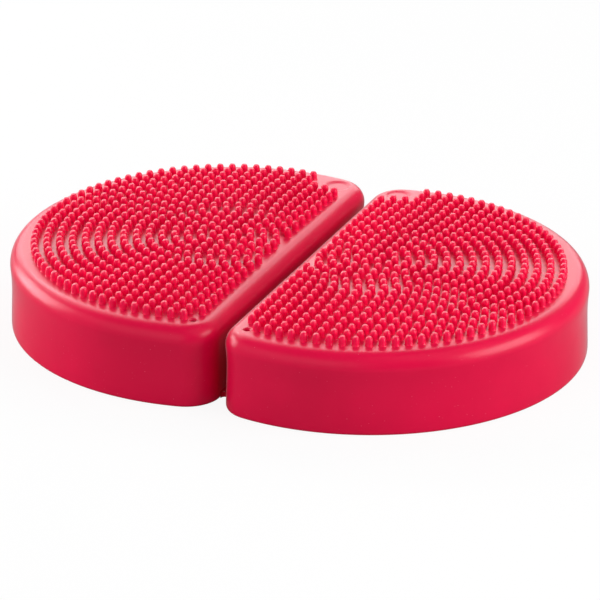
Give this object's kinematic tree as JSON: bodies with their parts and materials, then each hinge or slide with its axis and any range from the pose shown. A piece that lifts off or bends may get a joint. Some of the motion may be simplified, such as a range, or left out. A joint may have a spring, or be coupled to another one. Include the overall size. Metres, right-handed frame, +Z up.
{
  "type": "balance pad",
  "caption": "Two-chamber inflatable balance pad: D-shaped air cushions with a nubbed standing deck, joined by a flexible web along the floor.",
  "frame": {"origin": "on the floor, midway between the two chambers and midway front to back", "axes": "+X across the pad towards the right-hand chamber, +Y towards the rear corners with the bare recesses, +Z up"},
  "size_m": [0.51, 0.379, 0.0835],
  "materials": {
    "skin": "semi-gloss soft PVC",
    "nubs": "semi-gloss soft PVC",
    "web": "semi-gloss soft PVC",
    "valve": "matt soft plug"
  },
  "bodies": {
    "left_base": {"base_left": "skin", "wall_left": "skin", "hinge_web": "web"},
    "left_deck": {"deck_left": "skin", "nubs_left": "nubs", "valve_left": "valve"},
    "right_base": {"base_right": "skin", "wall_right": "skin"},
    "right_deck": {"deck_right": "skin", "nubs_right": "nubs", "valve_right": "valve"}
  },
  "joints": [
    {"name": "web_fold", "type": "hinge", "parent": "left_base", "child": "right_base", "pos_m": [0, 0, 0.003], "axis": [0, 1, 0], "range_deg": [-8, 90], "stiffness_Nm_per_rad": 2, "deforming": ["hinge_web"]},
    {"name": "deck_left_press", "type": "slide", "parent": "left_base", "child": "left_deck", "axis": [0, 0, 1], "range_m": [-0.025, 0], "stiffness_N_per_m": 22000, "deforming": ["wall_left"]},
    {"name": "deck_right_press", "type": "slide", "parent": "right_base", "child": "right_deck", "axis": [0, 0, 1], "range_m": [-0.025, 0], "stiffness_N_per_m": 22000, "deforming": ["wall_right"]}
  ]
}
